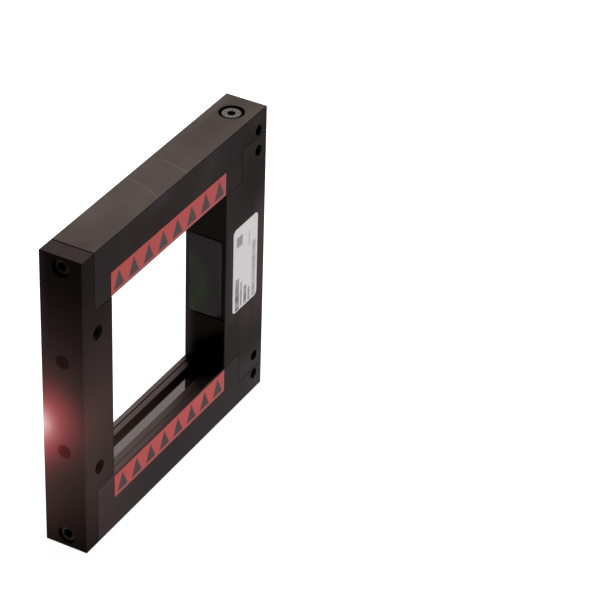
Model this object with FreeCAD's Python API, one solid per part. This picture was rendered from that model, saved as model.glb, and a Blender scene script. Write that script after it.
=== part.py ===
import FreeCAD, Part
import math
import os

vec = FreeCAD.Vector

# Sensing window and light beams
opening_width = 80.0        # clear window, left to right
opening_height = 80.0       # clear window, bottom to top
beam_pitch = 10.0           # distance between neighbouring beams

# Optical stack in the top and bottom bars, from the window's edge into the bar
rail_width = 13.0           # slotted rail, front to back
rail_height = 2.65          # slotted rail, and so the depth of its slot
slot_width = 7.4            # slot in the rail, front to back
slot_behind_middle = 0.3    # slot's middle behind the rail's
slot_overrun = 1.0          # slot past each end of the window
glass_thickness = 2.0       # glass strip under the rail
holder_height = 6.65        # moulded strip that carries the light sources
board_thickness = 1.6       # circuit boards
trough_depth = 1.6          # room for solder under the board
trough_ledge = 1.8          # bearing of the board on each side of that trough
rail_capture = 2.5          # rail under the side bars, at each end
lug_thickness = 1.5         # end lugs of the holder, which keep rail and glass in place
lug_drop = 0.3              # lug's top below the window's edge
well_length = 4.5           # open well for cables past each lug

# Walls of the bars
side_wall = 2.4             # front and back walls of the top and bottom bars
outer_wall = 10.0           # top and bottom bars, outside the stack
left_end_wall = 2.9         # top and bottom bars, from the left well to the bar's end
step_wall = 3.1             # right bar's narrow part, past the right well
pocket_depth = 19.6         # electronics pocket, from the window's edge
connector_wall = 10.0       # right bar, outside that pocket
edge_break = 0.2            # chamfer on machined edges
fit = 0.1                   # clearance between pieces that slot together

# Black cap screws through the left bar's end plate
left_thread = 4.0
left_head = 7.0
left_head_height = 4.0
left_hex = 3.0
left_hex_depth = 2.0
left_head_room = 0.25       # counterbore round the head, on the radius
left_recess = 1.5           # head below the face
left_clamp = 2.5            # plate under the head
left_grip = 9.5             # thread in the bar's end

# Bright cap screws through the stepped ends of the top and bottom bars
right_thread = 5.0
right_head = 8.3
right_head_height = 3.5
right_hex = 3.0
right_hex_depth = 2.0
right_head_room = 1.0
right_recess = 0.4
right_clamp = 6.85
right_grip = 11.0
right_screw_inset = 11.5    # screw from the right face

# Shared screw values
shank_room = 0.25           # clearance hole round a thread, on the radius
tap_room = 0.1              # tapped hole round a thread, on the radius
tap_runout = 1.0            # tapped hole past the end of the screw
head_chamfer = 0.4

# Mounting holes
left_hole_thread = 5.0      # tapped through the left bar, front to back
left_hole_inset = 9.5       # from the left face
left_hole_margin = 10.0     # from the window's top and bottom edges
side_hole_thread = 5.0      # tapped into the left face
side_hole_spacing = 40.0
side_holes_below_middle = 0.5
side_hole_depth = 10.0
tap_chamfer = 0.5           # countersink at the mouth of a tapped hole
right_hole = 4.5            # clear holes near the right face
right_hole_inset = 6.15     # from the right face
outer_hole_inset = 7.8      # from the top and bottom faces
inner_hole_inset = 16.75    # from the top and bottom faces

# Light sources and receivers, each in a chamber of the holder
led_length = 3.5
led_width = 2.8
led_height = 1.9
led_cup = 0.5               # rim round the light cup
led_cup_depth = 0.4
chamber_length = 7.0
chamber_width = 6.0

# Board screws in the wells
board_screw_thread = 2.0
board_screw_head = 3.2      # hexagon head, across the flats
board_screw_head_height = 1.3
board_screw_grip = 3.0
board_screw_offset = 3.0    # in front of the bar's middle

# Cover window, its seal and the pocket behind it
cover_height = 35.6
cover_above_middle = 0.65
cover_margin = 1.5          # right bar's wall beside the cover's recess
cover_radius = 1.8
cover_thickness = 1.5
cover_proud = 0.5           # cover above the bar's inner face
seal_thickness = 0.5
seal_land = 2.0             # seal's width round the pocket
pocket_radius = 1.2

# Main board and its components
main_board_face = 1.0       # board's front face behind the bar's middle
main_board_gap = 0.3        # board's edge behind the seal
groove_depth = 1.0          # board's edges in the pocket's end walls
chip_size = 7.0
chip_height = 1.0
driver_length = 5.0
driver_width = 4.0
driver_height = 1.5
driver_spacing = 14.0
capacitor_length = 6.0
capacitor_width = 3.2
capacitor_height = 2.5
capacitor_spacing = 19.0
chip_bevel = 0.25
chip_setback = 7.0          # chip's middle from the connector board
capacitor_setback = 5.0     # capacitors' middles from the connector board

# Flat cables from the optical boards to the main board
ribbon_width = 3.2
ribbon_thickness = 0.9
ribbon_lap = 4.0            # stretch soldered along the main board
ribbon_passage = 3.8

# Plug connector on the right face
plug_thread = 8.0
plug_grip = 8.0             # thread in the bar
plug_reach = 5.5            # thread past the collar
plug_collar = 1.5
plug_collar_hex = 10.0      # across the flats
plug_wall = 0.7
plug_seal_thickness = 0.5
plug_seal_width = 0.8
plug_board_size = 10.0
plug_board_thickness = 1.2
pin_diameter = 1.0
pin_circle = 3.5            # diameter of the circle of pins
pin_count = 4
pin_setback = 1.0           # pins below the sleeve's rim
pin_room = 0.05

# Status light in the left face
status_from_back = 2.4      # lens axis from the back face
status_below_middle = 11.0
lens_diameter = 2.9
lens_length = 5.0
lens_edge = 0.3
status_led_length = 4.0
status_led_size = 2.0
status_led_gap = 0.2
cable_width = 0.8
cable_thickness = 0.5
cable_offset = 0.9          # cable in front of the lens axis
cable_passage = 2.0
cable_clearance = 0.3       # passage from the holder's lug
cable_bend = 2.0

# Foils on the front face
foil_thickness = 0.15
strip_height = 9.85
bottom_strip_gap = 0.8      # from the window's edge
bottom_strip_shift = -0.1   # to the right of the window's middle
top_strip_gap = 0.6
top_strip_shift = -0.9
label_left_margin = 5.6
label_right_margin = 5.6
label_height = 38.5
label_radius = 2.0
label_above_middle = 1.1

# Sizes that follow from those above
channel_reach = rail_capture + lug_thickness + well_length
end_plate = left_recess + left_head_height + left_clamp
left_width = end_plate + left_end_wall + channel_reach
right_width = pocket_depth + connector_wall
step_length = right_width - channel_reach - step_wall
step_height = right_recess + right_head_height + right_clamp
board_level = rail_height + glass_thickness + holder_height
bar_height = board_level + board_thickness + trough_depth + outer_wall
frame_depth = rail_width + 2 * fit + 2 * side_wall
frame_width = left_width + opening_width + right_width
frame_height = opening_height + 2 * bar_height
beam_count = int(opening_width // beam_pitch)

# Planes of the frame, whose origin is the middle of its underside
left = -frame_width / 2
right = frame_width / 2
front = -frame_depth / 2
back = frame_depth / 2
window_left = left + left_width
window_right = right - right_width
window_bottom = bar_height
window_top = frame_height - bar_height
middle_x = (window_left + window_right) / 2
middle_z = frame_height / 2
cover_middle = middle_z + cover_above_middle
channel_left = window_left - channel_reach
channel_right = window_right + channel_reach
rail_left = window_left - rail_capture
rail_right = window_right + rail_capture
board_top = window_bottom - board_level
right_well = rail_right + lug_thickness + well_length / 2
left_well = rail_left - lug_thickness - well_length / 2
cover_floor = window_right + cover_thickness - cover_proud + seal_thickness
cover_width = frame_depth - 2 * (cover_margin + fit)
pocket_width = cover_width - 2 * seal_land
pocket_height = cover_height - 2 * seal_land
pocket_end = window_right + pocket_depth
plug_board_face = pocket_end - fit - plug_board_thickness
ribbon_y = main_board_face - fit - ribbon_thickness / 2
status_y = back - status_from_back
status_z = middle_z - status_below_middle
cable_y = status_y - cable_offset
cable_x = rail_left - lug_thickness - cable_clearance - cable_passage / 2
status_led_end = left + lens_length + status_led_gap + status_led_length

tolerance = 1e-6            # for telling edges apart
up = vec(0, 0, 1)
along_x = vec(1, 0, 0)
along_y = vec(0, 1, 0)


def block(x0, x1, y0, y1, z0, z1):
    return Part.makeBox(x1 - x0, y1 - y0, z1 - z0, vec(x0, y0, z0))


def rod(diameter, start, direction, length):
    return Part.makeCylinder(diameter / 2, length, start, direction)


def prism(points, direction):
    """Solid swept straight along a direction from a closed outline of points."""
    return Part.Face(Part.makePolygon(points + points[:1])).extrude(direction)


def hexagon(across_flats, height):
    """Upright hexagonal prism on the origin, with two corners on the X axis."""
    radius = across_flats / math.sqrt(3)
    angles = [math.radians(60 * i) for i in range(6)]
    corners = [vec(radius * math.cos(angle), radius * math.sin(angle), 0) for angle in angles]
    return prism(corners, up * height)


def turned(outline):
    """Solid of revolution round the Z axis from (radius, height) points."""
    points = [vec(radius, 0, height) for radius, height in outline]
    return Part.Face(Part.makePolygon(points + points[:1])).revolve(vec(0, 0, 0), up, 360)


def placed(shape, position, direction):
    """Copy of a shape made along +Z, with that axis turned to a direction."""
    result = shape.copy()
    result.Placement = FreeCAD.Placement(position, FreeCAD.Rotation(up, direction))
    return result


def rounded_plate(x0, x1, y0, y1, z0, z1, radius, axis):
    """Block whose four edges along one axis are rounded."""
    plate = block(x0, x1, y0, y1, z0, z1)
    parallel = [edge for edge in plate.Edges if edge.Curve.Direction.cross(axis).Length < tolerance]
    return plate.makeFillet(radius, parallel)


def mirrored(shape):
    """Copy in the upper half of the frame of a shape in its lower half."""
    return shape.mirror(vec(0, 0, middle_z), up)


def both_halves(shapes):
    return shapes + [mirrored(shape) for shape in shapes]


def machined_bar(outline, inner_corners):
    """Bar with an outline in the plane of the frame and broken edges, sharp at its inner corners."""
    bar = prism([vec(x, front, z) for x, z in outline], along_y * frame_depth)
    sharp = []
    for edge in bar.Edges:
        ends = [(vertex.X, vertex.Z) for vertex in edge.Vertexes]
        for corner in inner_corners:
            if all(math.dist(end, corner) < tolerance for end in ends):
                sharp.append(edge.hashCode())
    return bar.makeChamfer(edge_break, [edge for edge in bar.Edges if edge.hashCode() not in sharp])


def tapped_hole(thread, start, direction, depth):
    """Cutter for a tapped hole, with its mouth countersunk."""
    radius = thread / 2
    outline = [(0, 0), (radius + tap_chamfer, 0), (radius, tap_chamfer), (radius, depth), (0, depth)]
    return placed(turned(outline), start, direction)


def through_tapped_hole(thread, x, z):
    """Cutter for a tapped hole from the front face to the back, countersunk at both."""
    half = frame_depth / 2
    front_half = tapped_hole(thread, vec(x, front, z), along_y, half)
    back_half = tapped_hole(thread, vec(x, back, z), along_y * -1, half)
    return front_half.fuse(back_half).removeSplitter()


def cap_screw(thread, length, head, head_height, hex_size, hex_depth):
    """Socket head cap screw with its seat on the origin, its head above and its thread below."""
    thread_radius = thread / 2
    head_radius = head / 2
    outline = [
        (0, -length),
        (thread_radius, -length),
        (thread_radius, 0),
        (head_radius, 0),
        (head_radius, head_height - head_chamfer),
        (head_radius - head_chamfer, head_height),
        (0, head_height),
    ]
    socket = hexagon(hex_size, hex_depth)
    socket.translate(up * (head_height - hex_depth))
    return turned(outline).cut(socket)


def cap_screw_room(thread, length, bore, bore_depth, room):
    """Cutter for the counterbore and the hole of a cap screw whose seat is on the origin."""
    counterbore = Part.makeCylinder(bore / 2, bore_depth)
    hole = Part.makeCylinder(thread / 2 + room, length + tap_runout, vec(0, 0, -length - tap_runout))
    return counterbore.fuse(hole)


def left_screw_seat():
    return vec(left + end_plate - left_clamp, 0, outer_wall / 2)


def right_screw_seat():
    return vec(right - right_screw_inset, 0, step_height - right_clamp)


def left_screw():
    screw = cap_screw(left_thread, left_clamp + left_grip, left_head, left_head_height, left_hex,
                      left_hex_depth)
    return placed(screw, left_screw_seat(), along_x * -1)


def left_screw_cut(room):
    cutter = cap_screw_room(left_thread, left_clamp + left_grip, left_head + 2 * left_head_room,
                            left_head_height + left_recess, room)
    return placed(cutter, left_screw_seat(), along_x * -1)


def right_screw():
    screw = cap_screw(right_thread, right_clamp + right_grip, right_head, right_head_height, right_hex,
                      right_hex_depth)
    return placed(screw, right_screw_seat(), up * -1)


def right_screw_cut(room):
    cutter = cap_screw_room(right_thread, right_clamp + right_grip, right_head + 2 * right_head_room,
                            right_head_height + right_recess, room)
    return placed(cutter, right_screw_seat(), up * -1)


def right_holes():
    """Cutters for the two clear holes at the lower right corner."""
    x = right - right_hole_inset
    heights = (outer_hole_inset, inner_hole_inset)
    return [rod(right_hole, vec(x, front, z), along_y, frame_depth) for z in heights]


def board_screw_places():
    return [vec(x, -board_screw_offset, board_top) for x in (left_well, right_well)]


def bottom_bar():
    """Stepped bar with the milled channel for the optical stack."""
    left_end = left + end_plate
    step = right - step_length
    outline = [(left_end, 0), (right, 0), (right, step_height), (step, step_height), (step, window_bottom),
               (left_end, window_bottom)]
    bar = machined_bar(outline, [(step, step_height)])
    channel_half = rail_width / 2 + fit
    channel_floor = board_top - board_thickness
    channel = block(channel_left, channel_right, -channel_half, channel_half, channel_floor, window_bottom)
    trough_half = channel_half - trough_ledge
    trough = block(rail_left, rail_right, -trough_half, trough_half, channel_floor - trough_depth,
                   channel_floor)
    screw_depth = board_thickness + board_screw_grip + tap_runout
    board_taps = [rod(board_screw_thread + 2 * tap_room, place, up * -1, screw_depth)
                  for place in board_screw_places()]
    cuts = [channel, trough, left_screw_cut(tap_room), right_screw_cut(shank_room)]
    return bar.cut(cuts + board_taps + right_holes())


def left_bar():
    """Tee-shaped bar: an end plate over the full height, and a block between the other two bars."""
    plate = left + end_plate
    outline = [(left, 0), (plate, 0), (plate, window_bottom), (window_left, window_bottom),
               (window_left, window_top), (plate, window_top), (plate, frame_height), (left, frame_height)]
    bar = machined_bar(outline, [(plate, window_bottom), (plate, window_top)])
    hole_x = left + left_hole_inset
    front_holes = [through_tapped_hole(left_hole_thread, hole_x, z)
                   for z in (window_bottom + left_hole_margin, window_top - left_hole_margin)]
    side_middle = middle_z - side_holes_below_middle
    side_holes = [tapped_hole(side_hole_thread, vec(left, 0, side_middle + side), along_x, side_hole_depth)
                  for side in (-side_hole_spacing / 2, side_hole_spacing / 2)]
    status_bore = rod(lens_diameter + 2 * fit, vec(left, status_y, status_z), along_x,
                      cable_x + cable_passage / 2 - left)
    passage = rod(cable_passage, vec(cable_x, cable_y, window_bottom), up, status_z - window_bottom)
    screw_cuts = both_halves([left_screw_cut(shank_room)])
    return bar.cut(screw_cuts + front_holes + side_holes + [status_bore, passage])


def right_bar():
    """Wide bar with the electronics pocket, its cover's recess, the cable passages and the plug's bore."""
    step = right - step_length
    upper_step = frame_height - step_height
    outline = [(window_right, window_bottom), (step, window_bottom), (step, step_height),
               (right, step_height), (right, upper_step), (step, upper_step), (step, window_top),
               (window_right, window_top)]
    bar = machined_bar(outline, [(step, window_bottom), (step, window_top)])
    recess_half = cover_width / 2 + fit
    recess_rise = cover_height / 2 + fit
    recess = rounded_plate(window_right, cover_floor, -recess_half, recess_half, cover_middle - recess_rise,
                           cover_middle + recess_rise, cover_radius + fit, along_x)
    pocket = rounded_plate(window_right, pocket_end, -pocket_width / 2, pocket_width / 2,
                           middle_z - pocket_height / 2, middle_z + pocket_height / 2, pocket_radius, along_x)
    groove_rise = pocket_height / 2 + groove_depth
    groove = block(cover_floor, pocket_end, main_board_face - fit, main_board_face + board_thickness + fit,
                   middle_z - groove_rise, middle_z + groove_rise)
    passage = rod(ribbon_passage, vec(right_well, ribbon_y, window_bottom), up, middle_z - window_bottom)
    plug_bore = rod(plug_thread + 2 * tap_room, vec(pocket_end, 0, middle_z), along_x, connector_wall)
    mirrored_cuts = both_halves([passage, right_screw_cut(tap_room)] + right_holes())
    return bar.cut([recess, pocket, groove, plug_bore] + mirrored_cuts)


def rail():
    """Rail with a long slot, flush with the window's edge."""
    base = window_bottom - rail_height
    half = rail_width / 2
    body = block(rail_left + fit, rail_right - fit, -half, half, base, window_bottom)
    long_edges = [edge for edge in body.Edges
                  if edge.BoundBox.ZMin > window_bottom - tolerance and edge.BoundBox.YLength < tolerance]
    slot_front = slot_behind_middle - slot_width / 2
    slot = block(window_left - slot_overrun, window_right + slot_overrun, slot_front, slot_front + slot_width,
                 base, window_bottom)
    return body.makeChamfer(edge_break, long_edges).cut(slot)


def glass():
    half = rail_width / 2
    top = window_bottom - rail_height
    return block(rail_left + fit, rail_right - fit, -half, half, top - glass_thickness, top)


def beam_places():
    first = middle_x - beam_pitch * (beam_count - 1) / 2
    return [vec(first + beam_pitch * i, 0, board_top) for i in range(beam_count)]


def holder():
    """Moulded strip on the board, with a light chamber for each beam and a lug at each end."""
    half = rail_width / 2
    top = board_top + holder_height
    body = block(rail_left, rail_right, -half, half, board_top, top)
    lug_top = window_bottom - lug_drop
    left_lug = block(rail_left - lug_thickness, rail_left, -half, half, board_top, lug_top)
    right_lug = block(rail_right, rail_right + lug_thickness, -half, half, board_top, lug_top)
    chambers = [block(place.x - chamber_length / 2, place.x + chamber_length / 2, -chamber_width / 2,
                      chamber_width / 2, board_top, top) for place in beam_places()]
    return body.fuse([left_lug, right_lug]).removeSplitter().cut(chambers)


def chip_led():
    """Light source or receiver on the origin: a chip package with a square light cup in its top."""
    cup_length = led_length - 2 * led_cup
    cup_width = led_width - 2 * led_cup
    body = block(-led_length / 2, led_length / 2, -led_width / 2, led_width / 2, 0, led_height)
    cup = block(-cup_length / 2, cup_length / 2, -cup_width / 2, cup_width / 2, led_height - led_cup_depth,
                led_height)
    return body.cut(cup)


def leds():
    led = chip_led()
    return Part.makeCompound([placed(led, place, up) for place in beam_places()])


def optic_board():
    half = rail_width / 2
    board = block(channel_left + fit, channel_right - fit, -half, half, board_top - board_thickness,
                  board_top)
    return board.cut([rod(board_screw_thread + 2 * tap_room, place, up * -1, board_thickness)
                      for place in board_screw_places()])


def board_screws():
    """Hexagon head screws in the wells, which hold the board down."""
    length = board_thickness + board_screw_grip
    shank = Part.makeCylinder(board_screw_thread / 2, length, vec(0, 0, -length))
    screw = hexagon(board_screw_head, board_screw_head_height).fuse(shank)
    return Part.makeCompound([placed(screw, place, up) for place in board_screw_places()])


def optic_ribbon():
    """Flat cable from the board, up the well and the passage, onto the main board."""
    end = middle_z - pocket_height / 2 + ribbon_lap
    half = ribbon_width / 2
    return block(right_well - half, right_well + half, ribbon_y - ribbon_thickness / 2,
                 ribbon_y + ribbon_thickness / 2, board_top, end)


def cover_window():
    return rounded_plate(window_right - cover_proud, window_right - cover_proud + cover_thickness,
                         -cover_width / 2, cover_width / 2, cover_middle - cover_height / 2,
                         cover_middle + cover_height / 2, cover_radius, along_x)


def window_seal():
    """Flat gasket between the cover window and the floor of its recess."""
    base = cover_floor - seal_thickness
    outside = rounded_plate(base, cover_floor, -cover_width / 2, cover_width / 2,
                            cover_middle - cover_height / 2, cover_middle + cover_height / 2, cover_radius,
                            along_x)
    inside = rounded_plate(base, cover_floor, -pocket_width / 2, pocket_width / 2,
                           middle_z - pocket_height / 2, middle_z + pocket_height / 2, pocket_radius, along_x)
    return outside.cut(inside)


def main_board():
    rise = pocket_height / 2 + groove_depth - fit
    return block(cover_floor + main_board_gap, plug_board_face, main_board_face,
                 main_board_face + board_thickness, middle_z - rise, middle_z + rise)


def chip_body(length, width, height):
    """Moulded chip on the origin, with its upper edges bevelled."""
    body = block(-length / 2, length / 2, -width / 2, width / 2, 0, height)
    upper = [edge for edge in body.Edges if edge.BoundBox.ZMin > height - tolerance]
    return body.makeChamfer(chip_bevel, upper)


def controller_chip():
    place = vec(plug_board_face - chip_setback, main_board_face, middle_z)
    return placed(chip_body(chip_size, chip_size, chip_height), place, along_y * -1)


def driver_chips():
    chip = chip_body(driver_length, driver_width, driver_height)
    x = plug_board_face - chip_setback
    y = main_board_face + board_thickness
    return Part.makeCompound([placed(chip, vec(x, y, middle_z + side), along_y)
                              for side in (-driver_spacing / 2, driver_spacing / 2)])


def capacitors():
    capacitor = chip_body(capacitor_length, capacitor_width, capacitor_height)
    x = plug_board_face - capacitor_setback
    return Part.makeCompound([placed(capacitor, vec(x, main_board_face, middle_z + side), along_y * -1)
                              for side in (-capacitor_spacing / 2, capacitor_spacing / 2)])


def pin_places():
    """Points on the pins' circle, in the plane across the plug's axis."""
    angles = [math.radians(45 + 360 * i / pin_count) for i in range(pin_count)]
    radius = pin_circle / 2
    return [(radius * math.cos(angle), middle_z + radius * math.sin(angle)) for angle in angles]


def pin_rods(diameter, x0, x1):
    return [rod(diameter, vec(x0, y, z), along_x, x1 - x0) for y, z in pin_places()]


def plug_rim():
    return right + plug_seal_thickness + plug_collar + plug_reach


def connector_board():
    half = plug_board_size / 2
    return block(plug_board_face, plug_board_face + plug_board_thickness, -half, half, middle_z - half,
                 middle_z + half)


def connector_shell():
    """Threaded sleeve with a hexagonal collar, screwed into the right bar."""
    collar_base = right + plug_seal_thickness
    sleeve_start = right - plug_grip
    sleeve = rod(plug_thread, vec(sleeve_start, 0, middle_z), along_x, plug_rim() - sleeve_start)
    collar = placed(hexagon(plug_collar_hex, plug_collar), vec(collar_base, 0, middle_z), along_x)
    hollow = rod(plug_thread - 2 * plug_wall, vec(sleeve_start, 0, middle_z), along_x,
                 plug_rim() - sleeve_start)
    return sleeve.fuse(collar).removeSplitter().cut(hollow)


def connector_insert():
    """Moulded body inside the sleeve, which carries the pins."""
    start = plug_board_face + plug_board_thickness
    face = right + plug_seal_thickness + plug_collar
    body = rod(plug_thread - 2 * plug_wall - 2 * fit, vec(start, 0, middle_z), along_x, face - start)
    return body.cut(pin_rods(pin_diameter + 2 * pin_room, start, face))


def connector_pins():
    start = plug_board_face + plug_board_thickness
    return Part.makeCompound(pin_rods(pin_diameter, start, plug_rim() - pin_setback))


def connector_seal():
    inside = plug_thread + 2 * fit
    start = vec(right, 0, middle_z)
    ring = rod(inside + 2 * plug_seal_width, start, along_x, plug_seal_thickness)
    hole = rod(inside, start, along_x, plug_seal_thickness)
    return ring.cut(hole)


def status_lens():
    """Light guide in the left face, with a bevelled outer edge."""
    lens = rod(lens_diameter, vec(left, status_y, status_z), along_x, lens_length)
    outer = [edge for edge in lens.Edges if edge.BoundBox.XMax < left + tolerance]
    return lens.makeChamfer(lens_edge, outer)


def status_led():
    half = status_led_size / 2
    return block(status_led_end - status_led_length, status_led_end, status_y - half, status_y + half,
                 status_z - half, status_z + half)


def status_cable():
    """Thin flat cable from the status light, round one bend and down to the emitter board."""
    start = vec(status_led_end, cable_y, status_z)
    bend_start = vec(cable_x - cable_bend, cable_y, status_z)
    bend_end = vec(cable_x, cable_y, status_z - cable_bend)
    share = math.sqrt(0.5)
    bend_middle = vec(bend_start.x + cable_bend * share, cable_y, bend_end.z + cable_bend * share)
    end = vec(cable_x, cable_y, board_top)
    route = Part.Wire([
        Part.LineSegment(start, bend_start).toShape(),
        Part.Arc(bend_start, bend_middle, bend_end).toShape(),
        Part.LineSegment(bend_end, end).toShape(),
    ])
    across = along_y * (cable_width / 2)
    through = up * (cable_thickness / 2)
    corners = [start + across + through, start - across + through, start - across - through,
               start + across - through]
    section = Part.makePolygon(corners + corners[:1])
    return route.makePipeShell([section], True, False)


def marker_strip(low, shift):
    return block(window_left + shift, window_right + shift, front - foil_thickness, front, low,
                 low + strip_height)


def type_label():
    base = middle_z + label_above_middle - label_height / 2
    return rounded_plate(window_right + label_left_margin, right - label_right_margin,
                         front - foil_thickness, front, base, base + label_height, label_radius, along_y)


def build():
    """Every piece by the name of its node."""
    pieces = {
        "left_bar": left_bar(),
        "right_bar": right_bar(),
        "left_screws": Part.makeCompound(both_halves([left_screw()])),
        "right_screws": Part.makeCompound(both_halves([right_screw()])),
        "cover_window": cover_window(),
        "window_seal": window_seal(),
        "main_board": main_board(),
        "controller_chip": controller_chip(),
        "driver_chips": driver_chips(),
        "capacitors": capacitors(),
        "connector_board": connector_board(),
        "connector_shell": connector_shell(),
        "connector_insert": connector_insert(),
        "connector_pins": connector_pins(),
        "connector_seal": connector_seal(),
        "status_lens": status_lens(),
        "status_led": status_led(),
        "status_cable": status_cable(),
        "bottom_marker_strip": marker_strip(window_bottom - bottom_strip_gap - strip_height,
                                            bottom_strip_shift),
        "top_marker_strip": marker_strip(window_top + top_strip_gap, top_strip_shift),
        "type_label": type_label(),
    }
    twins = {
        "bottom_bar": ("top_bar", bottom_bar()),
        "emitter_rail": ("receiver_rail", rail()),
        "emitter_window": ("receiver_window", glass()),
        "emitter_holder": ("receiver_holder", holder()),
        "emitter_leds": ("receiver_diodes", leds()),
        "emitter_board": ("receiver_board", optic_board()),
        "emitter_board_screws": ("receiver_board_screws", board_screws()),
        "emitter_ribbon": ("receiver_ribbon", optic_ribbon()),
    }
    for lower_name, (upper_name, shape) in twins.items():
        pieces[lower_name] = shape
        pieces[upper_name] = mirrored(shape)
    return pieces


os.makedirs("parts", exist_ok=True)
for name, shape in build().items():
    shape.exportStep(os.path.join("parts", name + ".step"))
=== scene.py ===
from functools import reduce
import bmesh
import bpy
import numpy as np
from mathutils import Matrix, Vector


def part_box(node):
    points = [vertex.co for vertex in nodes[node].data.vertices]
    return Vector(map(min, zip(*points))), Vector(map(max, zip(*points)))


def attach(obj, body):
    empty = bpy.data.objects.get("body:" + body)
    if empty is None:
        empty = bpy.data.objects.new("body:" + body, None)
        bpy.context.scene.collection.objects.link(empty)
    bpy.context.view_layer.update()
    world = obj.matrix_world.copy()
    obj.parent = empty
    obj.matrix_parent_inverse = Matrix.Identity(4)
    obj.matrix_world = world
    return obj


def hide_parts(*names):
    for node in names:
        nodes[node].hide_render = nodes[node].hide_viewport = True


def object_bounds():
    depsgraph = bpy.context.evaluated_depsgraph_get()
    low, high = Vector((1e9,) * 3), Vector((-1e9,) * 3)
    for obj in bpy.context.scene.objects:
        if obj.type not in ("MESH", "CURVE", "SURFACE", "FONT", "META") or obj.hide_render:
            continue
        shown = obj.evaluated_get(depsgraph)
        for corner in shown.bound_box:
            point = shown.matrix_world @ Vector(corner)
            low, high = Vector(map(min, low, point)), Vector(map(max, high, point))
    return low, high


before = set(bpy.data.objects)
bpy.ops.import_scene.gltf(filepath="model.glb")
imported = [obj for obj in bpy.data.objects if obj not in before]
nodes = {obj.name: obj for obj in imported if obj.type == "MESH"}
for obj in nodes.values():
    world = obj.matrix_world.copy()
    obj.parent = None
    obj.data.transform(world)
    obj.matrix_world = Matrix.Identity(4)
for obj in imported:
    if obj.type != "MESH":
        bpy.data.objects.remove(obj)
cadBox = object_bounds()
mm = 0.001
turn = 2 * np.pi
middleZ = (cadBox[0][2] + cadBox[1][2]) / 2  # half the frame's height
print("frame loaded:", len(nodes), "nodes")

meshing = {"merge": 1e-7, "smooth": 0.6}  # metres, radians
bumpDepth = 0.02 * mm
mottle = (0.3, 0.7)  # spreads the values of a noise out
rowsPerPitch = 8  # of a thread


# One socket of a node tree. Arithmetic on it adds Math nodes, node() adds any other kind.
class Wire:
    def __init__(self, tree, socket):
        self.tree = tree
        self.socket = socket

    # settings are set before the sockets
    def node(self, kind, settings, sockets, output=0):
        made = self.tree.nodes.new(kind)
        for name, value in settings.items():
            setattr(made, name, value)
        for key, value in sockets.items():
            if isinstance(value, Wire):
                self.tree.links.new(value.socket, made.inputs[key])
            else:
                made.inputs[key].default_value = value
        return Wire(self.tree, made.outputs[output])

    def maths(self, operation, *values):
        return self.node("ShaderNodeMath", {"operation": operation}, dict(enumerate(values)))

    def __add__(self, other):
        return self.maths("ADD", self, other)

    def __radd__(self, other):
        return self.maths("ADD", other, self)

    def __sub__(self, other):
        return self.maths("SUBTRACT", self, other)

    def __rsub__(self, other):
        return self.maths("SUBTRACT", other, self)

    def __mul__(self, other):
        return self.maths("MULTIPLY", self, other)

    def __rmul__(self, other):
        return self.maths("MULTIPLY", other, self)

    def __truediv__(self, other):
        return self.maths("DIVIDE", self, other)

    def __abs__(self):
        return self.maths("ABSOLUTE", self)

    def most(self, other):
        return self.maths("MAXIMUM", self, other)

    def root(self):
        return self.maths("SQRT", self)

    def fraction(self):
        return self.maths("FRACT", self)

    # a bell curve: e to the power of minus half the square
    def bell(self):
        return self.maths("EXPONENT", self * self * -0.5)

    # 0 below low, 1 above high, smooth between
    def step(self, low, high):
        return self.node("ShaderNodeMapRange", {"interpolation_type": "SMOOTHSTEP"},
                         {"Value": self, "From Min": low, "From Max": high})

    # the same over a span in mm
    def over(self, span):
        return self.step(span[0] * mm, span[1] * mm)

    # 1 near a middle, 0 past the span of distances from it, in mm
    def near(self, middle, span):
        return 1 - abs(self - middle * mm).over(span)

    def noise(self, size, detail=2.0):
        scale = 1 / (size * mm)
        return self.node("ShaderNodeTexNoise", {}, {"Vector": self, "Scale": scale, "Detail": detail})

    def split(self):
        return [self.node("ShaderNodeSeparateXYZ", {}, {0: self}, output=axis) for axis in range(3)]

    # distance from a point given in mm
    def away(self, point):
        metres = tuple(mm * value for value in point)
        return self.node("ShaderNodeVectorMath", {"operation": "DISTANCE"}, {0: self, 1: metres}, output=1)

    # colour from one to the other as the factor goes from 0 to 1
    def blend(self, low, high):
        ends = {6: low, 7: high}
        colours = {key: tone if isinstance(tone, Wire) else (*tone, 1) for key, tone in ends.items()}
        return self.node("ShaderNodeMix", {"data_type": "RGBA"}, {0: self, **colours}, output=2)

    def bump(self, strength):
        return self.node("ShaderNodeBump", {}, {"Height": self, "Strength": strength, "Distance": bumpDepth})


# A material: fixed values go straight onto the shader, pattern() gives what changes over the surface
def makeFinish(name, fixed, pattern, *details):
    material = bpy.data.materials.new(name)
    material.use_nodes = True
    tree = material.node_tree
    shader = tree.nodes["Principled BSDF"]
    for key, value in fixed.items():
        shader.inputs[key].default_value = value
    place = Wire(tree, tree.nodes.new("ShaderNodeTexCoord").outputs["Object"])
    for key, wire in pattern(place, *details).items():
        tree.links.new(wire.socket, shader.inputs[key])
    return material


def dress(material, *names):
    for name in names:
        nodes[name].material_slots[0].material = material


# Rings of points in mm: each row is a radius, one number or one for each column, and a height up the axis
def lathe(rows, columns, place, axis):
    angle = turn * np.arange(columns) / columns
    radius = np.array([np.broadcast_to(row[0], columns) for row in rows])[..., None]
    height = np.array([np.broadcast_to(row[1], columns) for row in rows])[..., None]
    up = np.array(axis, float)
    side = np.roll(up, 1)
    across = np.cross(up, side)
    ring = np.cos(angle)[:, None] * side + np.sin(angle)[:, None] * across
    return np.array(place) + height * up + radius * ring


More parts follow.
